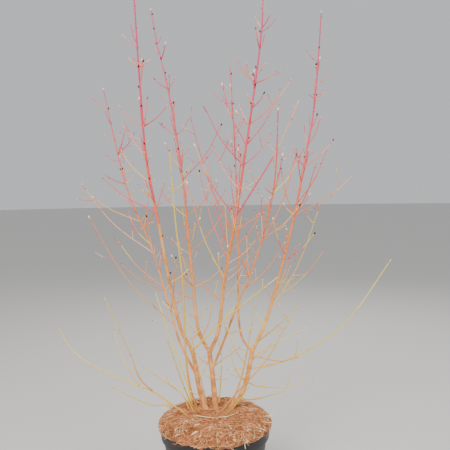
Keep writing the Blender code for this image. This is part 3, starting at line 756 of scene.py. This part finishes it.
def bark_relief(stops, radius):
    """How far each point of a stem's skin stands out, as a share of its radius."""
    turns = 2 * np.pi * np.arange(BARK_SIDES) / BARK_SIDES
    relief = np.zeros((len(stops), BARK_SIDES))
    for _ in range(WAVES):
        around, along = dice.randint(*WAVES_AROUND), dice.uniform(*WAVES_ALONG)
        wave = around * turns[None] + along * stops[:, None] + dice.uniform(0, FULL_TURN)
        relief += WAVE_HEIGHT * np.sin(wave)
    for _ in range(int((stops[-1] - stops[0]) * LENTICELS_PER_METRE)):
        middle, turn = dice.uniform(stops[0], stops[-1]), dice.uniform(0, FULL_TURN)
        aside = np.abs((turns - turn + np.pi) % (2 * np.pi) - np.pi) * radius.mean()
        spot = np.exp(-((stops - middle) / LENTICEL_LENGTH) ** 2)[:, None]
        relief += LENTICEL_HEIGHT * spot * np.exp(-(aside / LENTICEL_LENGTH) ** 2)[None]
    return 1 + relief


dice = random.Random(SEED)
stem_skin, bough_skin = Skin(), Skin()
for kind, node, limb in limbs:
    if kind not in ("stem", "bough"):
        continue
    stops, points = stretch_of(limb, BARK_RING, 0, limb.end)
    nodes = np.arange(STEM_NODE_SPACING, limb.end, STEM_NODE_SPACING)
    radii = limb.course.radius(stops) * swell(stops, nodes, STEM_SWELL)
    if kind == "stem":
        points[0, 2] -= FOOT_DEPTH
    else:
        radii = radii * (1 + COLLAR_SWELL * np.exp(-stops / COLLAR_LENGTH))
    skin = stem_skin if kind == "stem" else bough_skin
    finish = 1 if node == GOLDEN_BOUGH else 0
    add_tube(skin, points, radii[:, None] * bark_relief(stops, radii), BARK_SIDES, finish)
stem_skin.make("stems", [stem_cork], "stem_bark", *STEMS)
bough_nodes = ["bough_" + name for name in LEADERS]
bough_skin.make("boughs", [bough_cork, golden_cork], "bough_bark", *bough_nodes)

# %% [markdown]
# ## Buds
# Dogwood buds sit in opposite pairs, each pair turned a quarter from the last. They are narrow and
# pressed to the twig, dark on the upper leaders and small and red or straw elsewhere. Many side
# shoots end in a knob, where the tip died back and dried to a cream colour.

# %% Bud shape and finish
BUD_PROFILE = np.array([(0.0, 0.55), (0.25, 1.0), (0.55, 0.85), (0.85, 0.4), (1.0, 0.08)])
BUD_SIDES = 5
DARK_BUD, RED_BUD, DRY_TIP, STRAW_BUD = 0, 1, 2, 3
TIP_FINISHES = (DARK_BUD, RED_BUD, DRY_TIP, DRY_TIP, STRAW_BUD)
KNOB_FINISHES = (DRY_TIP, DRY_TIP, RED_BUD, DARK_BUD)
BUD_GRAIN = 1.2
BUD_BUMP = 0.2
BUD_FINISHES = [("dark_bud_scales", "#2e1a17", 0.6), ("red_bud_scales", "#b04a4c", 0.5),
                ("dried_tip", "#f0e2c0", 0.85), ("straw_bud_scales", "#b98a55", 0.6)]
bud_finishes = []
for name, code, roughness in BUD_FINISHES:
    bud_finishes.append(new_material(name, code, roughness, BARK_IOR, BUD_GRAIN, BUD_BUMP))
bud_skin = Skin()


def add_bud(root, heading, length, radius, slot):
    """One bud or dried tip that points along its heading."""
    points = root + heading * (BUD_PROFILE[:, :1] * length)
    add_tube(bud_skin, points, BUD_PROFILE[:, 1] * radius, BUD_SIDES, slot)


print(len(bud_finishes), "finishes for buds and tips")

# %% [markdown]
# ## Twigs
# Every limb above the bare boughs gets nodes at even steps. At each node the rule sets up to two
# spurs or buds, on opposite sides. A spur is kept only if it has room, and if it stays within its
# mass's own reach.

# %% Spurs, twigs and buds
# Kinds of twig: metres between rings, sides, metres between nodes, chance of a spur, swelling at
# a node, and chance of a bud
TWIG_PLANS = {
    "leader": (0.0028, 10, 0.043, 0.26, 0.2, 0.7),
    "shoot": (0.005, 6, 0.036, 0.17, 0.16, 0.3),
    "low": (0.004, 8, 0.040, 0.1, 0.16, 0.3),
    "stub": (0.005, 6, 0.022, 0.0, 0.12, 0.2),
    "spur": (0.005, 5, 0.022, 0.0, 0.12, 0.2),
}
LEADER_BUD = (0.0064, 0.0021)
SIDE_BUD = (0.0032, 0.0010)
TIP_KNOB = (0.0075, 0.0024)
KNOB_SHARE = 0.5
DARK_BUD_HEIGHT = 0.85
DARK_BUD_SHARE = 0.6
BUD_SEAT = 0.8
BUD_ALONG, BUD_OUT = 0.86, 0.5
BUD_OVER_TIP = 1.25
FIRST_NODE = 0.014
LAST_NODE_SHARE = 0.3
TWIG_NODE_WIDTH = 0.0022
PAIR_JITTER = (-0.3, 0.3)
LEADER_OVERLAP = 0.002
SPUR_ROOT = 0.006
SPUR_THICK = (2.2, 1.3)
SPUR_LENGTH = (1.6, 5.4)
SPUR_OUT, SPUR_ALONG, SPUR_RISE = (0.6, 0.9), (0.4, 0.7), (0.15, 0.5)
SPUR_BEND, SPUR_REST = 0.5, 0.45
REACH_MARGIN = 0.012
YELLOW_RUN = 2.4
YELLOW_SHIFT, HEIGHT_SHIFT = (0, 2.5), (-0.9, 0.9)
LEADER_TONE_SHARE = 0.25
TONE_BREAK = (0.5, 0.8)
left_skin, right_skin, low_skin = Skin(), Skin(), Skin()
LEFT_SPRAYS = ["spray_left", "spray_far_left", "spray_outer_left"]
RIGHT_SPRAYS = ["spray_centre", "spray_mid_right", "spray_slim_centre", "spray_far_right"]
LOW_NODES = ["spray_low_left", *SUCKERS, *TWIGS]


def is_low(node):
    """True for the yellow wood low down."""
    return node in LOW_NODES or node == STUB_NODE


def skin_of(node):
    """The skin that gathers a node's twigs."""
    return low_skin if is_low(node) else left_skin if node in LEFT_SPRAYS else right_skin


def in_reach(node, tip):
    """True where a tip stays in its mass's own space, and in the whole plant's."""
    low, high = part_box(node)
    near = all(low[k] - REACH_MARGIN < tip[k] < high[k] + REACH_MARGIN for k in range(3))
    return near and all(cad_box[0][k] < tip[k] < cad_box[1][k] for k in range(3))


def spur_from(node, root, side, heading, radius):
    """A short spur that leaves a node sideways and turns up, or None where it has no room."""
    length = dice.uniform(*SPUR_LENGTH) * CM
    out = side * dice.uniform(*SPUR_OUT) + heading * dice.uniform(*SPUR_ALONG)
    out = out / np.linalg.norm(out)
    middle = root + out * length * SPUR_BEND
    tip = middle + (out + np.array([0, 0, dice.uniform(*SPUR_RISE)])) * length * SPUR_REST
    if not in_reach(node, tip):
        return None
    stations = [Vector(p) / CM for p in (root, middle, tip)]
    spur = Limb(Course(stations, SPUR_THICK), spacing=length / 2)
    if not room.is_free(node, spur, SPUR_ROOT + 2 * radius):
        return None
    room.take(node, spur)
    return spur


def twig_tone(kind, node, points, shift):
    """Slots of young bark along a twig: by height in the crown, straw yellow low down.
    Most side shoots take one or two whip tones."""
    if is_low(node):
        along = np.linspace(0, 1, len(points) - 1)
        number = np.clip(np.round(shift + YELLOW_RUN * (1 - along)), 0, len(YELLOW_TONES) - 1)
        return len(HEIGHT_TONES) + number.astype(int)
    if kind == "leader" or dice.random() < LEADER_TONE_SHARE:
        return tone_at(points[:-1, 2], shift)
    whips = MIDDLE_WHIPS if points[0, 2] < HIGH_WHIP_HEIGHT else HIGH_WHIPS
    whips = LOW_WHIPS if points[0, 2] < LOW_WHIP_HEIGHT else whips
    # Whip tone 0 is the painted highlight, a pale salmon that stands for light on lit shoots
    slots = np.full(len(points) - 1, dice.choice(whips))
    slots[int(len(slots) * dice.uniform(*TONE_BREAK)):] = dice.choice(whips)
    return len(HEIGHT_TONES) + len(YELLOW_TONES) + slots


def dress(kind, node, limb):
    """Skins a limb, sets its buds, and gives back the spurs that grow from it."""
    ring, sides, spacing, spur_chance, bulge, bud_chance = TWIG_PLANS[kind]
    bud_length, bud_radius = LEADER_BUD if kind == "leader" else SIDE_BUD
    knobbed = kind == "shoot" and dice.random() < KNOB_SHARE
    if knobbed:
        bud_length, bud_radius = TIP_KNOB
    start = 0 if kind != "leader" else limb.start - LEADER_OVERLAP
    end = limb.end - bud_length - MM
    stops, points = stretch_of(limb, ring, start, end)
    if limb.on_ground:
        points[0, 2] -= FOOT_DEPTH
    shift = dice.uniform(*(YELLOW_SHIFT if is_low(node) else HEIGHT_SHIFT))
    nodes = np.arange(end - LAST_NODE_SHARE * spacing, limb.start + FIRST_NODE, -spacing)
    radii = limb.course.radius(stops) * swell(stops, nodes, bulge, TWIG_NODE_WIDTH)
    add_tube(skin_of(node), points, radii, sides, twig_tone(kind, node, points, shift))
    heading, across, other = across_axes(points)
    spurs = []
    for number, stop in enumerate(nodes):
        at = int(np.argmin(abs(stops - stop)))
        turn = math.pi / 2 * (number % 2) + dice.uniform(*PAIR_JITTER)
        side = math.cos(turn) * across[at] + math.sin(turn) * other[at]
        for way in (side, -side):
            spur = None
            if dice.random() < spur_chance:
                spur = spur_from(node, points[at], way, heading[at], radii[at])
            if spur:
                spurs.append(("spur", node, spur))
                continue
            if dice.random() > bud_chance:
                continue
            high = kind == "leader" and points[at][2] > DARK_BUD_HEIGHT
            dark = high and dice.random() < DARK_BUD_SHARE
            length, radius = LEADER_BUD if dark else SIDE_BUD
            lean = heading[at] * BUD_ALONG + way * BUD_OUT
            slot = DARK_BUD if dark else STRAW_BUD if points[at][2] < LOW_WHIP_HEIGHT else RED_BUD
            add_bud(points[at] + way * radii[at] * BUD_SEAT, lean, length, radius, slot)
    slot = dice.choice(KNOB_FINISHES if knobbed else TIP_FINISHES)
    add_bud(points[-1], heading[-1], bud_length, max(bud_radius, radii[-1] * BUD_OVER_TIP), slot)
    return spurs


spurs = []
for kind, node, limb in limbs:
    if kind in TWIG_PLANS:
        spurs += dress(kind, node, limb)
for kind, node, limb in spurs:
    dress(kind, node, limb)
print(len(spurs), "spurs")
left_skin.make("twigs_left", twig_barks, "spray_twigs", *LEFT_SPRAYS)
right_skin.make("twigs_right", twig_barks, "spray_twigs", *RIGHT_SPRAYS)
low_skin.make("twigs_low", twig_barks, "low_twigs", *LOW_NODES)
bud_skin.make("buds", bud_finishes, "spray_twigs")

# %% [markdown]
# ## The pot
# The pot is black polypropylene, injection moulded: an even dull skin with a trace of orange
# peel, and soft edges where the mould needs them. It is a turned profile with rounded corners.

# %% Pot mesh and finish
POT_ROUND = 144
EDGE_ROUND = 0.0016
CORNER_SHARE = 2.2
AXIS = 0.001
POT_SCUFFS = {"codes": ["#111112", "#19191a", "#262524"], "grain": 38.0, "detail": 6.0, "low": 0.3,
              "high": 0.75}
EARTH_ROUGHNESS = 0.95
EARTH_IOR = 1.45


def rounded(corners, radius, steps=4):
    """Rounds the corners of a profile of (radius, height) pairs."""
    corners = [np.array(corner, dtype=float) for corner in corners]
    points = [corners[0]]
    for before, corner, after in zip(corners, corners[1:], corners[2:]):
        back, ahead = before - corner, after - corner
        far_back, far_ahead = np.linalg.norm(back), np.linalg.norm(ahead)
        size = min(radius, far_back / CORNER_SHARE, far_ahead / CORNER_SHARE)
        start = corner + back / far_back * size
        end = corner + ahead / far_ahead * size
        for share in np.linspace(0, 1, steps + 1):
            points.append(start * (1 - share) ** 2 + 2 * corner * share * (1 - share) + end * share ** 2)
    return np.array(points + [corners[-1]])


def turned_rings(profile, sides):
    """Rings of a profile turned about the pot's axis."""
    turns = 2 * np.pi * np.arange(sides) / sides
    x = profile[:, :1] * np.cos(turns)[None]
    y = profile[:, :1] * np.sin(turns)[None]
    return np.stack([x, y, np.repeat(profile[:, 1:], sides, axis=1)], -1)


foot_of_collar = POT_HEIGHT - COLLAR_HEIGHT
collar_low = RIM_RADIUS - COLLAR_DRAFT
wall_top = collar_low - COLLAR_STEP
lead_in = COLLAR_STEP * COLLAR_SLOPE
pot_corners = [
    (AXIS, 0), (BASE_RADIUS, 0), (wall_top, foot_of_collar - lead_in), (collar_low, foot_of_collar),
    (RIM_RADIUS, POT_HEIGHT), (RIM_RADIUS - WALL, POT_HEIGHT), (collar_low - WALL, foot_of_collar + WALL),
    (wall_top - WALL, foot_of_collar - lead_in), (BASE_RADIUS - WALL, WALL), (AXIS, WALL),
]
polypropylene = new_material("black_polypropylene", "#161617", roughness=0.48, ior=1.49, grain=1.4,
                             depth=0.08, drift=POT_SCUFFS)
pot_skin = Skin()
pot_skin.add_rings(turned_rings(rounded(pot_corners, EDGE_ROUND), POT_ROUND))
pot_skin.make("pot_shell", [polypropylene], "pot_plastic", "pot")
compost_finish = new_material("moist_compost", "#3a2c20", EARTH_ROUGHNESS, EARTH_IOR, grain=6.0,
                              depth=1.5)
compost_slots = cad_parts["compost"].data.materials
compost_slots.clear()
compost_slots.append(compost_finish)

# %% [markdown]
# ## The mulch
# The pot is dressed with shredded bark and coir: thousands of loose reddish fibres, some chips,
# and a few pale straws that stick out. A brown mound carries them, and each fibre is a thin
# closed tube that lies along the mound, so that light catches single strands.

# %% Mulch mound, fibres and chips
MOUND_SIDES = 120
MOUND_STEPS = 34
LUMP = 2
RIM_DROP = 2.0
STRAND_LIMIT = 0.1475
STRAND_CURL = 1.1
STRAND_WOBBLE = 0.6
BLUNT_END = 0.05
FIBRES = 5000
STRAWS = 34
CHIPS = 1100
CHIP_FLATNESS = 0.3
# Strands: how far out, length in metres, radius and lift in millimetres, and tilt
FIBRE_PLAN = (0.146, (0.012, 0.05), (0.3, 0.75), (-0.5, 3.5), 0.09)
STRAW_REACH, STRAW_LENGTH, STRAW_RADIUS = (0.1, 0.142), (0.014, 0.034), (0.5, 0.8)
STRAW_LIFT, STRAW_TILT = 3, (0, 0.4)
CHIP_PLAN = (0.14, (0.008, 0.022), (1.5, 3.6), (0, 2), 0.12)
FIBRE_TONES = ["#c67c4a", "#d6915c", "#e4ac7a", "#965a34", "#f0cd9e", "#cf8454", "#f5e6b8"]
FIBRE_CHANCES = [0.22, 0.24, 0.18, 0.14, 0.1, 0.12]
FIBRE_ROUGHNESS = 0.8
STRAW = len(FIBRE_TONES) - 1
RUNNER_THICK = 2.2
RUNNER = [(-5.6, -1.6, 25.2), (-3.6, -3.4, 25.5), (-0.4, -4.1, 25.4), (3.4, -3.6, 25.5),
          (5.2, -1.6, 25.3)]
RUNNER_RING = 0.003
EDGE_STRAW_RADIUS = 0.8
EDGE_STRAW_RINGS = 7
# Straws that stick out past the rim: turn in degrees, reach from and to, and rise, in centimetres
EDGE_STRAWS = [(-5, 12.4, 15.6, 0.8), (-20, 12.4, 15.4, 0.1), (-36, 12.6, 15.6, -0.1),
               (-60, 13.6, 14.9, -2.4), (-128, 12.8, 15.2, 0.3), (160, 12.6, 15.4, 0.6)]


def mound_height(radius):
    """Height of the mulch at a distance from the pot's axis. It drops away past the rim."""
    share = np.clip((MULCH_RADIUS - radius) / (MULCH_RADIUS - PLATEAU_RADIUS), 0, 1)
    height = GROUND - (GROUND - MULCH_SHOULDER) * (1 - share) ** 2
    return height - RIM_DROP * np.maximum(radius - MULCH_RADIUS, 0)


grain = np.random.default_rng(SEED)
reach = np.linspace(2 * AXIS, MULCH_RADIUS - MM, MOUND_STEPS)
top = np.column_stack([reach, mound_height(reach) - MM])[::-1]
seat = POT_HEIGHT + GAP
under = np.array([(AXIS, seat), (RIM_RADIUS - WALL, seat), (MULCH_RADIUS - 2 * MM, seat + GAP)])
mound = turned_rings(np.concatenate([under, top]), MOUND_SIDES)
lumps = grain.uniform(-1, 1, mound.shape[:2]) * LUMP * MM
mound[len(under):, :, 2] += lumps[len(under):]
mound_skin = Skin()
mound_skin.add_rings(mound)
bark_drift = {"codes": ["#643c24", "#98623c", "#be885c"], "grain": 4.0}
bark_mould = new_material("shredded_bark_mould", "#5a3520", EARTH_ROUGHNESS, EARTH_IOR, grain=2.0,
                          depth=1.2, drift=bark_drift)
mound_skin.make("mulch_mound", [bark_mould], "mulch_fibre", "mulch")

fibre_finishes = []
for number, code in enumerate(FIBRE_TONES):
    name = "coir_fibre_%d" % number
    fibre_finishes.append(new_material(name, code, FIBRE_ROUGHNESS, EARTH_IOR, grain=1.5, depth=0.2))


def add_strand(skin, radius, length, width, lift, tilt, slot, sides=3, flatness=1.0, knots=6):
    """A curved strand that lies along the mound, from a random place in a random direction."""
    turn, heading = grain.uniform(0, 2 * np.pi, 2)
    curl = grain.normal(0, STRAND_CURL)
    share = np.linspace(0, 1, knots)
    angle = heading + curl * share
    step = length / (knots - 1)
    x = radius * np.cos(turn) + np.cumsum(np.cos(angle)) * step
    y = radius * np.sin(turn) + np.cumsum(np.sin(angle)) * step
    out = np.hypot(x, y)
    inward = np.minimum(1, STRAND_LIMIT / out)
    x, y, out = x * inward, y * inward, out * inward
    wobble = grain.uniform(-1, 1, knots) * STRAND_WOBBLE * MM
    z = mound_height(out) + lift + tilt * length * share + wobble
    taper = width * np.sqrt(np.maximum(1 - (2 * share - 1) ** 4, BLUNT_END))
    add_tube(skin, np.column_stack([x, y, z]), taper, sides, slot, flatness)


def loose_strand(reach, length, radius, lift, tilt):
    """Random measures of a strand, spread evenly over the mound."""
    return (reach * grain.uniform() ** 0.5, grain.uniform(*length), grain.uniform(*radius) * MM,
            grain.uniform(*lift) * MM, grain.normal(0, tilt))


fibre_skin, chip_skin = Skin(), Skin()
for _ in range(FIBRES):
    tone = int(grain.choice(STRAW, p=FIBRE_CHANCES))
    add_strand(fibre_skin, *loose_strand(*FIBRE_PLAN), tone)
for _ in range(STRAWS):
    add_strand(fibre_skin, grain.uniform(*STRAW_REACH), grain.uniform(*STRAW_LENGTH),
               grain.uniform(*STRAW_RADIUS) * MM, STRAW_LIFT * MM, grain.uniform(*STRAW_TILT), STRAW)
for _ in range(CHIPS):
    measures = loose_strand(*CHIP_PLAN)
    add_strand(chip_skin, *measures, int(grain.choice(STRAW)), sides=6, flatness=CHIP_FLATNESS, knots=4)
runner = Course(RUNNER, (RUNNER_THICK, RUNNER_THICK))
stops, points = stretch_of(Limb(runner), RUNNER_RING, 0, runner.length)
add_tube(fibre_skin, points, runner.radius(stops), 6, STRAW)
for turn, start, end, rise in EDGE_STRAWS:
    share = np.linspace(0, 1, EDGE_STRAW_RINGS)
    out = (start + (end - start) * np.sqrt(share)) * CM
    height = mound_height(start * CM) + MM + rise * CM * share
    x, y = out * math.cos(math.radians(turn)), out * math.sin(math.radians(turn))
    radii = np.full(EDGE_STRAW_RINGS, EDGE_STRAW_RADIUS * MM)
    add_tube(fibre_skin, np.column_stack([x, y, height]), radii, 5, STRAW)
fibre_skin.make("mulch_fibres", fibre_finishes, "mulch_fibre")
chip_skin.make("mulch_chips", fibre_finishes, "mulch_fibre")

# %% [markdown]
# ## Floor, light and camera
# A pale floor and three soft lamps show the bark's colours as they are. The camera stands close, a
# little above the middle of the plant, and is tipped down slightly.

# %% Stage
FOCAL_PIXELS = 565
PHOTO_PIXELS = 450
SENSOR = 36
CAMERA_PLACE = (0.034, -1.445, 0.83)
CAMERA_TILT = 3.5
CAMERA_ROLL = -0.9
FLOOR_RADIUS = 30
AIR_STRENGTH = 0.85
LAMP_AIM = Vector((0, 0, 0.7))
# Soft square lamps that face the crown: name, place, size in metres, power in watts and colour
LAMPS = [("key_lamp", (-1.0, -2.1, 2.2), 0.9, 94, "#fff8ef"),
         ("fill_lamp", (1.9, -1.6, 1.4), 1.6, 36, "#f4f7ff"),
         ("back_lamp", (0.6, 2.2, 2.4), 1.4, 36, "#ffffff")]
bpy.ops.mesh.primitive_circle_add(vertices=96, radius=FLOOR_RADIUS, fill_type="NGON", location=(0, 0, 0))
floor = bpy.context.object
floor.name = "studio_floor"
floor.data.materials.append(new_material("pale_floor_paint", "#d2d0cc", roughness=0.7, ior=1.5))

world = bpy.data.worlds.new("studio_air")
world.use_nodes = True
air = world.node_tree.nodes["Background"].inputs
air["Color"].default_value = linear("#dcdde0")
air["Strength"].default_value = AIR_STRENGTH
bpy.context.scene.world = world

for name, place, size, power, code in LAMPS:
    light = bpy.data.lights.new(name, "AREA")
    light.size = size
    light.energy = power
    light.color = linear(code)[:3]
    lamp = bpy.data.objects.new(name, light)
    bpy.context.scene.collection.objects.link(lamp)
    lamp.location = place
    lamp.rotation_euler = (LAMP_AIM - Vector(place)).to_track_quat("-Z", "Y").to_euler()
    lamp.visible_camera = False

camera = bpy.data.objects.new("photo_camera", bpy.data.cameras.new("photo_camera"))
bpy.context.scene.collection.objects.link(camera)
camera.data.sensor_width = SENSOR
camera.data.lens = FOCAL_PIXELS / PHOTO_PIXELS * SENSOR
tilt = Matrix.Rotation(math.radians(90 - CAMERA_TILT), 4, "X")
roll = Matrix.Rotation(math.radians(CAMERA_ROLL), 4, "Z")
camera.matrix_world = Matrix.Translation(CAMERA_PLACE) @ tilt @ roll
bpy.context.scene.camera = camera
print("lens", round(camera.data.lens, 1), "mm")
